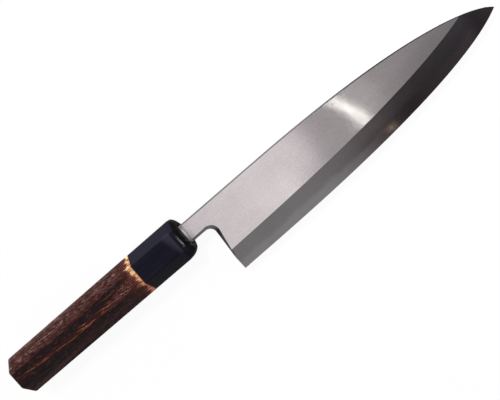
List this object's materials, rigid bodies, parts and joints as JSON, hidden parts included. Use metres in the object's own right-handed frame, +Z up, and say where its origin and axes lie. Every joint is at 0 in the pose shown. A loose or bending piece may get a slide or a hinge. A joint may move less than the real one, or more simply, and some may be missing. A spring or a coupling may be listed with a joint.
{
  "type": "mioroshi deba knife",
  "caption": "Single-bevel fish knife with a curved pointed blade, notched neck, black horn ferrule and octagonal burnt-wood handle, for filleting and light butchery.",
  "frame": {"origin": "below the middle of the knife's box, on the surface that the underside of its handle lies on", "axes": "+X from the butt to the tip, +Y from the cutting edge to the spine, +Z up, out of the bevelled side of the blade"},
  "size_m": [0.3602, 0.0528, 0.022],
  "materials": {
    "cladding_iron": "satin ground flat with a darker polished bevel",
    "hard_steel": "fine polished edge steel",
    "black_horn": "semi-gloss buffalo horn",
    "burnt_chestnut": "charred and brushed chestnut with open grain",
    "bedding_resin": "hardened resin",
    "sealant": "pale sealing bead"
  },
  "bodies": {
    "root": {"blade_body": "cladding_iron", "edge_steel": "hard_steel", "ferrule": "black_horn", "handle": "burnt_chestnut", "tang_bedding": "bedding_resin", "mouth_seal": "sealant"}
  },
  "joints": []
}
